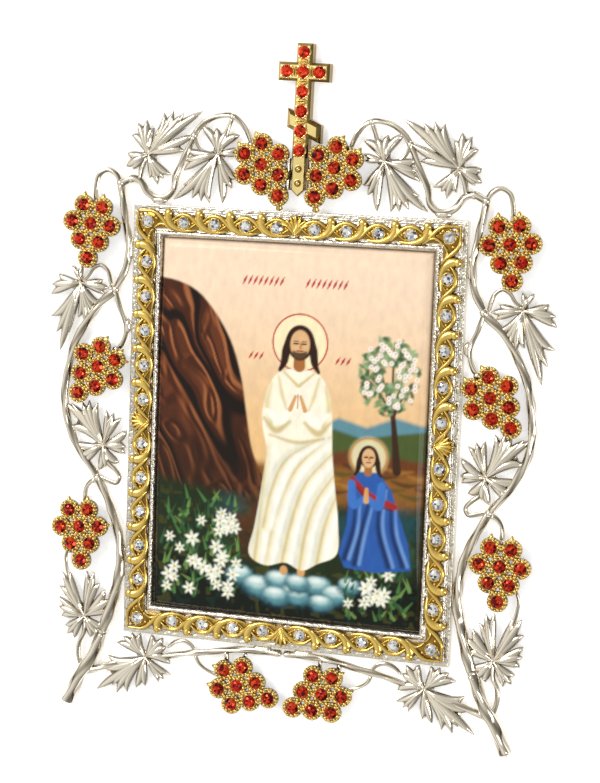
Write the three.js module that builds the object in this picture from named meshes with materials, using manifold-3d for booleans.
// Jewelled icon: a silver frame with a gilt scroll band of clear stones around a domed picture,
// bordered by two mirrored silver vines that carry gilt grape clusters, with a gilt cross on top.
// Millimetres. It lies on its back: X to the right, Y up the picture, Z out of its face.
import * as THREE from 'three';
import { mergeVertices } from 'three/addons/utils/BufferGeometryUtils.js';
import Module from 'manifold-3d';

const wasm = await Module();
wasm.setup();

// Frame
const FRAME_WIDTH = 72;
const FRAME_HEIGHT = 92;
const FRAME_BORDER = 6.6;
const RIM_HEIGHT = 2.0;
const RIM_WIDTH = 1.2;
const RIM_FLAT_SHARE = 0.9;
const RIM_SLOPE = 0.1;
const SEAT_HEIGHT = 2.5;
const BEAD_HEIGHT = 2.9;
const BEAD_TOP_SHARES = [0.1, 0.5];
const LIP_HEIGHT = 1.9;
const CLEARANCE = 0.05;
const SMALLEST_DETAIL = 0.05;
const MERGE_DISTANCE = 1e-4;

// Picture plaque
const PLAQUE_GAP = 0.1;
const PLAQUE_EDGE_HEIGHT = 1.8;
const PLAQUE_CENTRE_HEIGHT = 3.5;
const PLAQUE_RINGS = 3;
const PLAQUE_SIDES = 16;
const RING_CROWDING = 1.6;
const DOME_FLATNESS = 5;

// Scroll band and its stones
const STONE_DIAMETER = 2.5;
const STONE_SIDES = 6;
const TABLE_SHARE = 0.6;
const BAND_THICKNESS = 0.7;
const BAND_STONE_RISE = 0.45;
const BAND_INSET = 3.5;
const EYE_WIDTH = 3.7;
const STONES_PER_HALF_TOP = 4;
const STONES_PER_HALF_SIDE = 5;
const TOP_MIDDLE_GAP = 4.08;
const SIDE_MIDDLE_GAP = 4.75;
const TOP_CORNER_GAP = 8.02;
const SIDE_CORNER_GAP = 8.45;
const CORNER_REACH = 2.3;
const LOBE_REACH = 2.8;

// Edges of the band, as shares. Palmette, notch before the corner and inner edge: of half an eye's
// width. Neck after a stone: of the stones' pitch along, of half an eye's width outwards. Lobe: of the
// pitch along, of its reach outwards.
const PALMETTE_EDGE = [[0, 1.6], [0.5, 1.25], [1.5, 1.1]];
const NECK_EDGE = [0.32, 0.7];
const LOBE_EDGE = [[0.39, 1], [0.56, 0.92]];
const CORNER_NOTCH = [1.8, 1.1];
const INNER_MIDDLE_DEPTH = 0.8;
const INNER_WAVE_DEPTH = 0.72;
const INNER_CORNER_DEPTH = 0.9;

// Vine castings and cluster places, drawn on a grid of squares that the frame covers. A square has
// this size about the middle lines and outside the frame, and between them follows the frame.
const SQUARE = 1;
const SQUARES_ACROSS = 72;
const SQUARES_UP = 92;
const MIDDLE_SQUARES = 28;
const TRUNK_RADIUS = 1.25;
const VINE_AXIS_HEIGHT = 1.35;
const VINE_STEP = 6.4;
const THICK_SIDES = 5;
const THIN_SIDES = 4;
const THIN_SHARE = 0.64;
const PAD_THICKNESS = 1.6;
const SEAT_RADIUS = 0.8;
const LEAF_BACK_HEIGHT = 0.4;
const LEAF_EDGE_HEIGHT = 1.3;
const LEAF_TIP_HEIGHT = 1.5;
const LEAF_CENTRE_HEIGHT = 2.35;
const FINGER_NOTCH_SHARE = 0.74;
const LOBE_NOTCH_SHARE = 0.4;

// Grape clusters
const CLUSTER_BASE_HEIGHT = 2.45;
const CLUSTER_PITCH = 4.284;
const CLUSTER_ROW_RATIO = 0.855;
const CLUSTER_CENTRE_ROW = 1.6;
const CUP_RADIUS = 2.2;
const SCALLOP_STEP = THREE.MathUtils.degToRad(90);
const CUP_THICKNESS = 1.25;
const CLUSTER_STONE_RISE = 0.55;
const NUB_LENGTH = 3.1;
const NUB_WIDTH = 1.8;
const LUG_WIDTH = 1.2;
const FOOT_WIDTH = 1.6;
const FOOT_LOW = 1.0;
const FOOT_RISE = 0.6;

// Cross and its socket
const CROSS_BACK_HEIGHT = 0.3;
const CROSS_FRONT_HEIGHT = 3.1;
const CROSS_WALL = 0.45;
const CROSS_BEVEL = 0.35;
const CROSS_LEAN = THREE.MathUtils.degToRad(-0.9);
const CROSS_RISE = 34.3;
const CROSS_STONE_PITCH = 4.0;
const CROSS_STONES = 6;
const CROSS_TOP_STONE = 1.8;
const ARM_SPAN = 10.9;
const ARM_WIDTH = 3.8;
const ARM_STONE_OFFSET = 3.5;
const SLANT_SPAN = 7.3;
const SLANT_WIDTH = 3.9;
const SLANT_DROP = 3.15;
const SLANT_SHIFT = 0.45;
const SLANT_RISE = 17.6;
const SHANK_FOOT_RISE = 11;
const PLATE_WIDTH = 2.7;
const PLATE_TIP_RISE = 3.2;
const PLATE_POINT = 1.3;
const PLATE_THICKNESS = 1.3;
const STONE_DEPTH = 0.9;
const STONE_RISE = 0.7;
const STONE_FLOOR_SHARE = 0.5;
const CROSS_STONE_SIDES = 6;
const SOCKET_WIDTH = 6;
const SOCKET_WALL = 1.2;
const SOCKET_LOW = 0.5;
const SOCKET_FOOT_RISE = 4.4;

// Finishes
const silver = new THREE.MeshStandardMaterial({ color: 0xe6e1d6, roughness: 0.18, metalness: 1 });
const frameSilver = new THREE.MeshStandardMaterial({ color: 0xcfc8bb, roughness: 0.32, metalness: 1 });
const bandGilt = new THREE.MeshStandardMaterial({ color: 0xe6b93a, roughness: 0.2, metalness: 1 });
const clusterGilt = new THREE.MeshStandardMaterial({ color: 0xc9a648, roughness: 0.28, metalness: 1 });
const garnet = new THREE.MeshStandardMaterial({ color: 0xb81a12, roughness: 0.05, metalness: 0 });
const enamel = new THREE.MeshStandardMaterial({ color: 0x9a6a3c, roughness: 0.08, metalness: 0 });

// Vine routes of the left half on the grid: the radius at each end as a share of the trunk's, then
// the points passed through
const VINE_ROUTES = [
  [1, 0.88, [-49, -63.3], [-46.2, -57.3], [-43.5, -52.8], [-41, -46.8]],
  [0.88, 0.6, [-41, -46.8], [-38.8, -39.7], [-37.1, -32.5], [-37.8, -25], [-40.4, -18], [-43, -13]],
  [0.56, 0.68, [-43, -13], [-47.3, -7.5], [-50.4, -1], [-51, 5], [-49.1, 15], [-44.6, 23], [-40, 27.5]],
  [0.6, 0.6, [-40, 27.5], [-37.7, 31.8], [-37.1, 37], [-38.2, 43], [-39.4, 50]],
  [0.44, 0.4, [-40, 27.5], [-39, 24.2], [-37.2, 19.8], [-39.3, 14.9]],
  [0.44, 0.4, [-39.4, 50], [-42.2, 52.8], [-44.9, 49.2], [-44.9, 45.5]],
  [0.64, 0.48, [-39.4, 50], [-36.8, 51.2], [-33.4, 48.6], [-29.4, 47.6], [-27.1, 51.9], [-23.2, 60.7]],
  [0.48, 0.4, [-23.2, 60.7], [-20.2, 64.1], [-14.8, 65.1], [-12.1, 62.7], [-10.6, 59.5]],
  [0.4, 0.36, [-14.9, 64.8], [-16.5, 60.6], [-17.9, 57.3]],
  [0.32, 0.32, [-23.2, 60.7], [-21.7, 57.8], [-20.2, 57.1]],
  [0.44, 0.44, [-33.6, 56], [-34.8, 53.3], [-35.2, 50.2]],
  [0.36, 0.36, [-45.8, 30.5], [-43.6, 32.6], [-41.3, 29.8], [-40.9, 27.6]],
  [0.4, 0.4, [-41.6, -7.5], [-39.2, -11], [-38.6, -13.9], [-42.8, -12.9]],
  [0.4, 0.4, [-43.2, -13.4], [-45.6, -15.6], [-45.8, -19]],
  [0.44, 0.48, [-45.5, -47.5], [-46.6, -51.8], [-45.2, -55.6]],
  [0.32, 0.32, [-49.9, -30], [-49.6, -32], [-47.8, -37.5]],
  [0.64, 0.44, [-45, -55.8], [-40, -54.3], [-36.5, -53]],
  [0.52, 0.56, [-27.5, -51], [-20, -49.5], [-9, -47.4], [-0.05, -47.3]],
  [0.36, 0.36, [-26, -49], [-22.3, -46.9], [-19.4, -49.2]],
  [0.32, 0.32, [-19.6, -49.6], [-17.4, -52.4], [-14.6, -53.2]],
  [0.4, 0.4, [-12.6, -47.8], [-12.3, -50.8]],
  [0.4, 0.4, [-8.4, -47.4], [-8.3, -49.8]],
];

// Where a vine carries a cluster: a round seat that rises to the cluster's underside
const CLUSTER_SEATS = [[-10.6, 59.2], [-44.9, 45.3], [-39.3, 14.8], [-45.8, -19.2], [-12.3, -50.8],
  [-8.3, -49.9]];

// Where a vine is fixed to the frame: the two corners of each pad, with its inner edge on the frame
const PADS = [
  [[-37.2, 33.5], [-36, 39.5]], [[-37.2, 18.3], [-36, 21.7]], [[-37.2, -35], [-36, -27]],
  [[-32.6, 46], [-28.6, 48.9]], [[-7, -47.3], [-2, -46]],
];

// Leaves of the left half: vein centre, then the fingertips of each lobe from the centre, going left
// round from the right
const LEAVES = [
  { centre: [-33.4, 56.4], lobes: [[[8, 1], [10, 4.4]],
    [[8.2, 5.8], [11.8, 9.3], [7.8, 8.8], [5.4, 9.2], [3.2, 8.8]],
    [[-0.4, 7.2], [-2.5, 6.5], [-4, 3.8]], [[-4.8, 0.2], [-4.9, -2.8], [-3.4, -3.4]],
    [[0.3, -5], [2.3, -6.3], [5.2, -4]]] },
  { centre: [-17.9, 57.1], lobes: [[[4.4, -0.2], [4.6, 1.4]],
    [[4.6, 4], [2, 4.6], [-0.6, 5.4], [-3.8, 5.5]], [[-6.8, 0.7], [-7, -1.8], [-7.5, -3.7]],
    [[-7.5, -6.7], [-9.5, -9.8], [-5.5, -9.5], [-3.5, -10], [-1.6, -10.2]],
    [[1.2, -10.2], [3.3, -7], [4.5, -5]]] },
  { centre: [-47.9, 28.6], lobes: [[[6.5, -0.8], [5, 1]], [[0.4, 3.8], [-2.3, 3.6]],
    [[-5.2, 1.7], [-6.8, -0.8], [-7.2, -3]],
    [[-6.9, -7.6], [-5.5, -11], [-4.5, -14.8], [-2.3, -11], [-1.1, -9.3]],
    [[1, -8.5], [2.5, -7.5], [3.5, -6], [5, -4.2]]] },
  { centre: [-41.9, -6], lobes: [[[5, -1.5], [5.3, 0], [5.2, 3.6]], [[4, 6.2], [2.3, 7.2], [0.4, 7.6]],
    [[-1.5, 9], [-3.5, 9.5], [-5, 9], [-7.5, 8.4], [-9, 8.5], [-8, 3]],
    [[-7, 0], [-5, -3], [-4, -4.3]], [[-1, -5.5], [0.6, -4.7], [3.7, -3.5]]] },
  { centre: [-45.3, -43.8], lobes: [[[5.5, 1], [6, 4.3], [4.6, 6.3]], [[3.4, 7.6], [2, 9.8], [0.2, 10]],
    [[-3.6, 9.3], [-5.5, 9.3], [-6.2, 6]], [[-6.1, 3.7], [-6.1, 1.6], [-5.6, -0.8]],
    [[-4.8, -2.5], [-4.1, -4.5], [-2.3, -5.3]], [[1.4, -4.7], [3.5, -4], [5, -2]]] },
  { centre: [-31, -51.3], lobes: [[[5.8, -1], [4.8, 2.7], [4, 4.6], [1.3, 5]],
    [[-1.2, 5], [-3.2, 5], [-5.2, 4], [-6.7, 2.4]],
    [[-8.6, -0.6], [-10, -3.5], [-11, -8.4], [-7.5, -7.2], [-6.4, -8.8], [-4, -8.4]],
    [[-2, -7.2], [0.2, -6.6]], [[3.2, -5.4], [4.5, -4.6], [6, -3.3]]] },
];

// Clusters: name, centre on the grid, turn in degrees and, on the sides, the lug that reaches towards
// the frame. The two at the top stand on the frame with a foot instead.
const CLUSTERS = [
  ['top_left', -6.98, 54.18, 31.2], ['top_right', 7.15, 54.17, -33.8],
  ['shoulder_left', -45.25, 39.94, -5.5, [-38.2, 41.7]],
  ['shoulder_right', 45.16, 40.3, 5.3, [38.2, 41.9]],
  ['side_left', -43.68, 9.93, -36.4, [-35.7, 12.5]],
  ['side_right', 43.34, 9.53, 37.7, [35.7, 12.3]],
  ['lower_left', -46.09, -25.26, 4.1, [-38.9, -23]],
  ['lower_right', 46.02, -25.02, -1.4, [38.9, -23]],
  ['bottom_left', -7.93, -55.17, 74.6], ['bottom_right', 8.26, -55.2, -60.3],
];

// A closed three.js geometry as a manifold solid
function solid(geometry) {
  const bare = geometry.clone();
  bare.deleteAttribute('normal');
  bare.deleteAttribute('uv');
  const merged = mergeVertices(bare, MERGE_DISTANCE);
  return new wasm.Manifold(new wasm.Mesh({
    numProp: 3,
    vertProperties: new Float32Array(merged.attributes.position.array),
    triVerts: new Uint32Array(merged.index.array),
  }));
}

// A manifold solid as a named mesh
function mesh(name, body, material) {
  const out = body.simplify(SMALLEST_DETAIL).getMesh();
  const geometry = new THREE.BufferGeometry();
  geometry.setAttribute('position', new THREE.BufferAttribute(new Float32Array(out.vertProperties), 3));
  geometry.setIndex([...out.triVerts]);
  geometry.computeVertexNormals();
  const piece = new THREE.Mesh(geometry, material);
  piece.name = name;
  return piece;
}

function joined(bodies) {
  return bodies.reduce((whole, body) => whole.add(body));
}

// A distance from a middle line of the grid, in millimetres
function measured(squares, frameSize, squareCount) {
  const from = Math.abs(squares);
  const kept = MIDDLE_SQUARES / 2;
  const edge = squareCount / 2;
  const stretched = (frameSize / 2 - kept * SQUARE) / (edge - kept);
  const inMiddle = Math.min(from, kept) * SQUARE;
  const inFrame = Math.max(0, Math.min(from, edge) - kept) * stretched;
  const outside = Math.max(0, from - edge) * SQUARE;
  return Math.sign(squares) * (inMiddle + inFrame + outside);
}

// A point of the grid, in millimetres
function onSheet(x, y) {
  return [measured(x, FRAME_WIDTH, SQUARES_ACROSS), measured(y, FRAME_HEIGHT, SQUARES_UP)];
}

// A flat outline raised from one height to another
function slab(points, low, high) {
  const shape = new THREE.Shape(points.map(([x, y]) => new THREE.Vector2(x, y)));
  const geometry = new THREE.ExtrudeGeometry(shape, { depth: high - low, bevelEnabled: false });
  return solid(geometry.translate(0, 0, low));
}

function box(x0, x1, y0, y1, low, high) {
  return slab([[x0, y0], [x1, y0], [x1, y1], [x0, y1]], low, high);
}

// A slab whose front and back edges are bevelled inwards
function bevelledSlab(points, low, high, bevel) {
  const shape = new THREE.Shape(points.map(([x, y]) => new THREE.Vector2(x, y)));
  const geometry = new THREE.ExtrudeGeometry(shape, {
    depth: high - low - 2 * bevel, bevelEnabled: true, bevelSegments: 1,
    bevelThickness: bevel, bevelSize: bevel, bevelOffset: -bevel,
  });
  return solid(geometry.translate(0, 0, low + bevel));
}

// A turned solid about the Z axis, with its profile as radius and height
function turned(profile, sides, x, y) {
  const points = profile.map(([radius, height]) => new THREE.Vector2(radius, height));
  const geometry = new THREE.LatheGeometry(points, sides, Math.PI / sides);
  return solid(geometry.rotateX(Math.PI / 2).translate(x, y, 0));
}

// A ring with mitred corners: the profile gives the distance in from the frame's edge, and the height
function mitredRing(profile) {
  const points = profile.map(([inset, height]) => new THREE.Vector2(
    (FRAME_WIDTH / 2 - inset) * Math.SQRT2, height));
  const geometry = new THREE.LatheGeometry(points, 4, Math.PI / 4).rotateX(Math.PI / 2);
  const position = geometry.attributes.position;
  for (let i = 0; i < position.count; i++) {
    const y = position.getY(i);
    position.setY(i, y + Math.sign(y) * (FRAME_HEIGHT - FRAME_WIDTH) / 2);
  }
  return solid(geometry);
}

// A tapering tube along a smooth route that stays at one height
function taperedTube(route, startShare, endShare) {
  const points = route.map(([x, y]) => new THREE.Vector3(...onSheet(x, y), VINE_AXIS_HEIGHT));
  const curve = new THREE.CatmullRomCurve3(points, false, 'centripetal');
  const steps = Math.max(2, Math.round(curve.getLength() / VINE_STEP));
  const sides = Math.max(startShare, endShare) > THIN_SHARE ? THICK_SIDES : THIN_SIDES;
  const geometry = new THREE.CylinderGeometry(1, 1, 1, sides, steps);
  const position = geometry.attributes.position;
  for (let i = 0; i < position.count; i++) {
    const along = position.getY(i) + 0.5;
    const centre = curve.getPointAt(along);
    const heading = curve.getTangentAt(along);
    const radius = TRUNK_RADIUS * (startShare + (endShare - startShare) * along);
    const across = position.getX(i) * radius;
    position.setXYZ(i, centre.x + heading.y * across, centre.y - heading.x * across,
      centre.z + position.getZ(i) * radius);
  }
  return solid(geometry);
}

// A fluted leaf: a ridge runs from the vein centre to each fingertip, and a valley to each notch.
// The notches between lobes are deeper than those between the fingers of one lobe.
function flutedLeaf({ centre, lobes }) {
  const place = (x, y, height) => [...onSheet(centre[0] + x, centre[1] + y), height];
  const corners = [place(0, 0, LEAF_CENTRE_HEIGHT), place(0, 0, LEAF_BACK_HEIGHT)];
  lobes.forEach((lobe, i) => {
    const nextLobe = lobes[(i + 1) % lobes.length];
    lobe.forEach(([x, y], j) => {
      const last = j === lobe.length - 1;
      const [nextX, nextY] = last ? nextLobe[0] : lobe[j + 1];
      const share = (last ? LOBE_NOTCH_SHARE : FINGER_NOTCH_SHARE) / 2;
      corners.push(place(x, y, LEAF_TIP_HEIGHT));
      corners.push(place((x + nextX) * share, (y + nextY) * share, LEAF_EDGE_HEIGHT));
    });
  });
  const rim = corners.length - 2;
  const faces = Array.from({ length: rim }, (_, i) => {
    const here = 2 + i;
    const next = 2 + (i + 1) % rim;
    return [0, here, next, 1, next, here];
  });
  const geometry = new THREE.BufferGeometry();
  geometry.setAttribute('position', new THREE.BufferAttribute(new Float32Array(corners.flat()), 3));
  geometry.setIndex(faces.flat());
  return solid(geometry);
}

// Pads that fill the small space between a vine and the frame's outside
function vinePads() {
  const low = VINE_AXIS_HEIGHT - PAD_THICKNESS / 2;
  const side = FRAME_WIDTH / 2 + CLEARANCE;
  const end = FRAME_HEIGHT / 2 + CLEARANCE;
  return PADS.map((corners) => {
    const [[x0, y0], [x1, y1]] = corners.map((corner) => onSheet(...corner));
    const beside = Math.abs(y0) < FRAME_HEIGHT / 2 && Math.abs(y1) < FRAME_HEIGHT / 2;
    const right = beside ? -side : x1;
    const bottom = !beside && y0 > 0 ? end : y0;
    const top = !beside && y1 < 0 ? -end : y1;
    return box(x0, right, bottom, top, low, low + PAD_THICKNESS);
  });
}

// One vine casting, the left one: stems, leaves, pads and the seats of its clusters
function vineCasting() {
  const stems = VINE_ROUTES.map(([start, end, ...route]) => taperedTube(route, start, end));
  const leaves = LEAVES.map(flutedLeaf);
  const seats = CLUSTER_SEATS.map(([drawnX, drawnY]) => {
    const [x, y] = onSheet(drawnX, drawnY);
    return box(x - SEAT_RADIUS, x + SEAT_RADIUS, y - SEAT_RADIUS, y + SEAT_RADIUS,
      VINE_AXIS_HEIGHT, CLUSTER_BASE_HEIGHT - CLEARANCE);
  });
  return joined([...stems, ...leaves, ...vinePads(), ...seats]);
}

// Stone places of a cluster about its centre: rows of one, two, three and two
function clusterStones() {
  const rows = [1, 2, 3, 2];
  const places = [];
  rows.forEach((count, row) => {
    for (let i = 0; i < count; i++) {
      const across = i - (count - 1) / 2;
      const up = (row - CLUSTER_CENTRE_ROW) * CLUSTER_ROW_RATIO;
      places.push([across * CLUSTER_PITCH, up * CLUSTER_PITCH]);
    }
  });
  return places;
}

function stoneProfile(base, rise) {
  const radius = STONE_DIAMETER / 2;
  return [[0, base - rise], [radius, base - rise], [radius, base], [radius * TABLE_SHARE, base + rise],
    [0, base + rise]];
}

// Scalloped outline around the outer stones of a cluster, given in order, counterclockwise
function scallops(centres) {
  const outline = [];
  centres.forEach(([x, y], i) => {
    const [lastX, lastY] = centres.at(i - 1);
    const [nextX, nextY] = centres[(i + 1) % centres.length];
    const fromLast = Math.atan2(lastY - y, lastX - x);
    const toNext = Math.atan2(nextY - y, nextX - x);
    const meet = Math.acos(Math.min(1, Math.hypot(nextX - x, nextY - y) / 2 / CUP_RADIUS));
    const span = THREE.MathUtils.euclideanModulo(toNext - fromLast, 2 * Math.PI) - 2 * meet;
    const steps = Math.ceil(span / SCALLOP_STEP);
    for (let step = 0; step < steps; step++) {
      const angle = fromLast + meet + span * step / steps;
      outline.push([x + CUP_RADIUS * Math.cos(angle), y + CUP_RADIUS * Math.sin(angle)]);
    }
  });
  return outline;
}

// A grape cluster: a scalloped plate with its stones and two nubs above; then a lug on a side
// cluster, and a foot on the frame under a top one
function grapeCluster(x, y, turnDegrees, lug) {
  const [cx, cy] = onSheet(x, y);
  const turn = THREE.MathUtils.degToRad(turnDegrees);
  const place = ([px, py]) => [cx + px * Math.cos(turn) - py * Math.sin(turn),
    cy + px * Math.sin(turn) + py * Math.cos(turn)];
  const stones = clusterStones();
  const base = CLUSTER_BASE_HEIGHT;
  const top = base + CUP_THICKNESS;
  const outer = [0, 2, 5, 7, 6, 3, 1].map((i) => stones[i]);
  const bodies = [slab(scallops(outer).map(place), base, top)];
  for (const stone of stones) {
    bodies.push(turned(stoneProfile(top, CLUSTER_STONE_RISE), STONE_SIDES, ...place(stone)));
  }
  for (const [sx, sy] of [stones[6], stones[7]]) {
    const root = sy + STONE_DIAMETER / 2;
    const nub = [[sx - NUB_WIDTH / 2, root], [sx + NUB_WIDTH / 2, root], [sx, sy + NUB_LENGTH]];
    bodies.push(slab(nub.map(place), base, top));
  }
  if (lug) {
    const [lugX, lugY] = onSheet(...lug);
    const left = Math.min(lugX, cx);
    bodies.push(box(left, left + Math.abs(lugX - cx), lugY - LUG_WIDTH / 2, lugY + LUG_WIDTH / 2,
      base, top));
  } else if (cy > 0) {
    const [footX, footY] = place(stones[0]);
    bodies.push(box(footX - FOOT_WIDTH / 2, footX + FOOT_WIDTH / 2, FRAME_HEIGHT / 2 + CLEARANCE,
      footY, FOOT_LOW, base + FOOT_RISE));
  }
  return joined(bodies);
}

// Distances of a side's stones from its middle, the corner stone left out
function stoneRow(halfLength, middleGap, cornerGap, count) {
  const pitch = (halfLength - cornerGap - middleGap) / (count - 1);
  return Array.from({ length: count }, (_, i) => middleGap + i * pitch);
}

// Outer edge of half a side, from its middle: a palmette, then a swell over each stone and a curled
// lobe after it. Each point is the distance along the side and outwards from the line of stones.
function outerEdge(places, halfLength) {
  const pitch = places[1] - places[0];
  const half = EYE_WIDTH / 2;
  const points = PALMETTE_EDGE.map(([u, v]) => [half * u, half * v]);
  for (const along of places) {
    points.push([along, half], [along + pitch * NECK_EDGE[0], half * NECK_EDGE[1]]);
    points.push(...LOBE_EDGE.map(([u, v]) => [along + pitch * u, LOBE_REACH * v]));
  }
  points.push([halfLength - half * CORNER_NOTCH[0], half * CORNER_NOTCH[1]]);
  points.push([halfLength + CORNER_REACH, CORNER_REACH]);
  return points;
}

// Inner edge of half a side: a shallow wave that swells under each stone
function innerEdge(places, halfLength) {
  const pitch = places[1] - places[0];
  const half = EYE_WIDTH / 2;
  const points = [[0, -half * INNER_MIDDLE_DEPTH]];
  for (const along of places) {
    points.push([along, -half], [along + pitch / 2, -half * INNER_WAVE_DEPTH]);
  }
  points.push([halfLength - half * INNER_CORNER_DEPTH, -half * INNER_CORNER_DEPTH]);
  return points;
}

// A closed loop around the frame from the edge of half a side, mirrored and turned to all four
function aroundFrame(edge, across, upright) {
  const halfWidth = FRAME_WIDTH / 2 - BAND_INSET;
  const halfHeight = FRAME_HEIGHT / 2 - BAND_INSET;
  const whole = (half) => [...half.slice(1).map(([u, v]) => [-u, v]).reverse(), ...half];
  const top = whole(edge(across, halfWidth)).map(([u, v]) => [u, halfHeight + v]);
  const right = whole(edge(upright, halfHeight)).map(([u, v]) => [halfWidth + v, -u]);
  const loop = [...top.slice(1), ...right.slice(1)];
  const points = [...loop, ...loop.map(([x, y]) => [-x, -y])];
  return points.reverse().map(([x, y]) => new THREE.Vector2(x, y));
}

function scrollBand() {
  const low = SEAT_HEIGHT + CLEARANCE;
  const halfWidth = FRAME_WIDTH / 2 - BAND_INSET;
  const halfHeight = FRAME_HEIGHT / 2 - BAND_INSET;
  const across = stoneRow(halfWidth, TOP_MIDDLE_GAP, TOP_CORNER_GAP, STONES_PER_HALF_TOP);
  const upright = stoneRow(halfHeight, SIDE_MIDDLE_GAP, SIDE_CORNER_GAP, STONES_PER_HALF_SIDE);
  const shape = new THREE.Shape(aroundFrame(outerEdge, across, upright));
  shape.holes.push(new THREE.Path(aroundFrame(innerEdge, across, upright)));
  const geometry = new THREE.ExtrudeGeometry(shape, { depth: BAND_THICKNESS, bevelEnabled: false });
  const profile = stoneProfile(low + BAND_THICKNESS, BAND_STONE_RISE);
  const places = [[halfWidth, halfHeight], [-halfWidth, halfHeight]];
  for (const side of [-1, 1]) {
    across.forEach((along) => places.push([side * along, halfHeight]));
    upright.forEach((along) => places.push([halfWidth, side * along]));
  }
  const stones = [...places, ...places.map(([x, y]) => [-x, -y])]
    .map(([x, y]) => turned(profile, STONE_SIDES, x, y));
  return joined([solid(geometry.translate(0, 0, low)), ...stones]);
}

// The frame: a low rim, a flat seat for the band, then a bead that falls to the lip of the opening
function frame() {
  const seatEnd = BAND_INSET + EYE_WIDTH / 2 + CLEARANCE;
  const bead = FRAME_BORDER - seatEnd;
  return mitredRing([[0, 0], [0, RIM_HEIGHT], [RIM_WIDTH * RIM_FLAT_SHARE, RIM_HEIGHT + RIM_SLOPE],
    [RIM_WIDTH, SEAT_HEIGHT], [seatEnd, SEAT_HEIGHT],
    ...BEAD_TOP_SHARES.map((share) => [seatEnd + bead * share, BEAD_HEIGHT]),
    [FRAME_BORDER, LIP_HEIGHT], [FRAME_BORDER, 0], [0, 0]]);
}

// A pillow-shaped slab that fills the frame's opening, highest in the middle
function picturePlaque() {
  const halfWidth = FRAME_WIDTH / 2 - FRAME_BORDER - PLAQUE_GAP;
  const halfHeight = FRAME_HEIGHT / 2 - FRAME_BORDER - PLAQUE_GAP;
  const dome = PLAQUE_CENTRE_HEIGHT - PLAQUE_EDGE_HEIGHT;
  const points = [new THREE.Vector2(0, 0), new THREE.Vector2(1, 0)];
  for (let i = 0; i <= PLAQUE_RINGS; i++) {
    const share = 1 - (i / PLAQUE_RINGS) ** RING_CROWDING;
    points.push(new THREE.Vector2(share, PLAQUE_CENTRE_HEIGHT - dome * share ** DOME_FLATNESS));
  }
  const geometry = new THREE.LatheGeometry(points, PLAQUE_SIDES, 0).rotateX(Math.PI / 2);
  const position = geometry.attributes.position;
  for (let i = 0; i < position.count; i++) {
    const x = position.getX(i);
    const y = position.getY(i);
    const radius = Math.hypot(x, y);
    const widest = Math.max(Math.abs(x), Math.abs(y)) || 1;
    const squared = radius / widest;
    position.setXY(i, x * squared * halfWidth, y * squared * halfHeight);
  }
  return solid(geometry);
}

// The cross stands on the frame's top edge and leans about its foot
function leaned(body) {
  const foot = FRAME_HEIGHT / 2;
  return body.translate([0, -foot, 0]).rotate([0, 0, THREE.MathUtils.radToDeg(CROSS_LEAN)])
    .translate([0, foot, 0]);
}

// Stone places of the cross: down its shank, then one on each arm
function crossStonePlaces() {
  const top = FRAME_HEIGHT / 2 + CROSS_RISE - CROSS_TOP_STONE;
  const places = Array.from({ length: CROSS_STONES }, (_, i) => [0, top - i * CROSS_STONE_PITCH]);
  const armY = top - CROSS_STONE_PITCH;
  return [...places, [-ARM_STONE_OFFSET, armY], [ARM_STONE_OFFSET, armY]];
}

function cross() {
  const edge = FRAME_HEIGHT / 2;
  const top = edge + CROSS_RISE;
  const shankHalf = STONE_DIAMETER / 2 + CROSS_WALL;
  const shankFoot = edge + SHANK_FOOT_RISE;
  const armMiddle = top - CROSS_TOP_STONE - CROSS_STONE_PITCH;
  const rectangle = (x0, x1, y0, y1) => [[x0, y0], [x1, y0], [x1, y1], [x0, y1]];
  const bar = (points) => bevelledSlab(points, CROSS_BACK_HEIGHT, CROSS_FRONT_HEIGHT, CROSS_BEVEL);
  const shank = bar(rectangle(-shankHalf, shankHalf, shankFoot, top));
  const arms = bar(rectangle(-ARM_SPAN / 2, ARM_SPAN / 2, armMiddle - ARM_WIDTH / 2,
    armMiddle + ARM_WIDTH / 2));
  const left = SLANT_SHIFT - SLANT_SPAN / 2;
  const right = SLANT_SHIFT + SLANT_SPAN / 2;
  const high = edge + SLANT_RISE + SLANT_DROP / 2;
  const low = edge + SLANT_RISE - SLANT_DROP / 2;
  const slant = bar([[left, high - SLANT_WIDTH / 2], [right, low - SLANT_WIDTH / 2],
    [right, low + SLANT_WIDTH / 2], [left, high + SLANT_WIDTH / 2]]);
  const plateHalf = PLATE_WIDTH / 2;
  const tip = edge + PLATE_TIP_RISE;
  const shoulder = tip + PLATE_POINT;
  const plate = bevelledSlab([[0, tip], [plateHalf, shoulder], [plateHalf, shankFoot + CROSS_WALL],
    [-plateHalf, shankFoot + CROSS_WALL], [-plateHalf, shoulder]],
  CROSS_FRONT_HEIGHT - PLATE_THICKNESS, CROSS_FRONT_HEIGHT, CROSS_BEVEL / 2);
  const pitFloor = CROSS_FRONT_HEIGHT - STONE_DEPTH;
  const pitRadius = STONE_DIAMETER / 2 + CLEARANCE;
  const pits = crossStonePlaces().map(([x, y]) => turned([[0, pitFloor], [pitRadius, pitFloor],
    [pitRadius, CROSS_FRONT_HEIGHT + STONE_RISE], [0, CROSS_FRONT_HEIGHT + STONE_RISE]],
  CROSS_STONE_SIDES, x, y));
  return leaned(joined([shank, arms, slant, plate]).subtract(joined(pits)));
}

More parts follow.
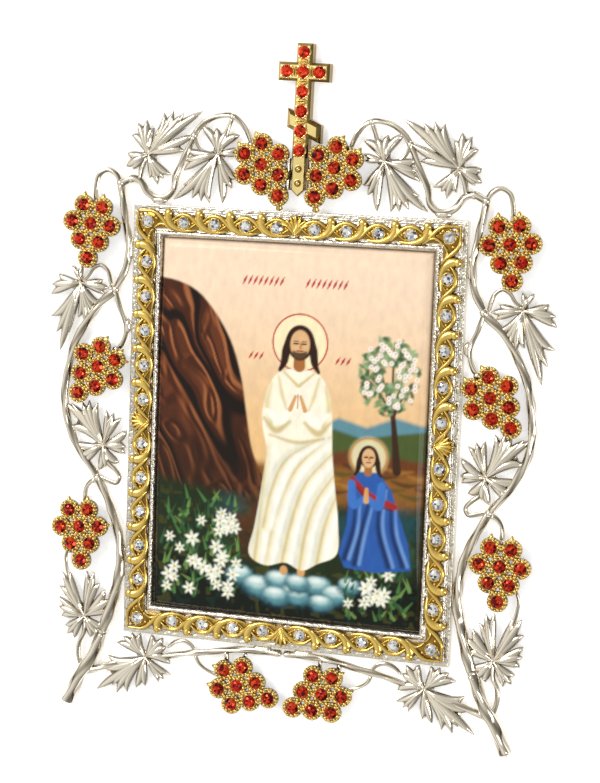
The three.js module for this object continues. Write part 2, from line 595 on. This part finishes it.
// A cut stone standing in its pit in the cross
function crossStone(x, y) {
  const radius = STONE_DIAMETER / 2;
  const floor = CROSS_FRONT_HEIGHT - STONE_DEPTH + CLEARANCE;
  const table = CROSS_FRONT_HEIGHT + STONE_RISE;
  return leaned(turned([[0, floor], [radius * STONE_FLOOR_SHARE, floor], [radius, CROSS_FRONT_HEIGHT],
    [radius * TABLE_SHARE, table], [0, table]], CROSS_STONE_SIDES, x, y));
}

// The channel behind the cross's plate: its floor carries the plate, and its walls reach under the
// two top clusters
function crossSocket() {
  const foot = FRAME_HEIGHT / 2 + SOCKET_FOOT_RISE;
  const top = FRAME_HEIGHT / 2 + SHANK_FOOT_RISE - CLEARANCE;
  const floor = CROSS_FRONT_HEIGHT - PLATE_THICKNESS - CLEARANCE;
  const wallTop = CLUSTER_BASE_HEIGHT - CLEARANCE;
  const half = SOCKET_WIDTH / 2;
  const inner = half - SOCKET_WALL;
  const section = [[-inner, SOCKET_LOW], [inner, SOCKET_LOW], [half, floor], [half, wallTop],
    [inner, wallTop], [inner, floor], [-inner, floor], [-inner, wallTop], [-half, wallTop],
    [-half, floor]].map(([x, z]) => new THREE.Vector2(x, z));
  const geometry = new THREE.ExtrudeGeometry(new THREE.Shape(section),
    { depth: top - foot, bevelEnabled: false });
  return solid(geometry.rotateX(Math.PI / 2).translate(0, top, 0));
}

const icon = new THREE.Group();
icon.add(mesh('frame', frame(), frameSilver));
icon.add(mesh('scroll_band', scrollBand(), bandGilt));
icon.add(mesh('picture_plaque', picturePlaque(), enamel));
const leftVine = vineCasting();
icon.add(mesh('vine_left', leftVine, silver));
icon.add(mesh('vine_right', leftVine.mirror([1, 0, 0]), silver));
for (const [name, ...layout] of CLUSTERS) {
  icon.add(mesh(`grape_cluster_${name}`, grapeCluster(...layout), clusterGilt));
}
icon.add(mesh('cross', cross(), clusterGilt));
icon.add(mesh('cross_socket', crossSocket(), silver));
crossStonePlaces().forEach(([x, y], i) => {
  icon.add(mesh(`cross_stone_${i + 1}`, crossStone(x, y), garnet));
});

export default icon;
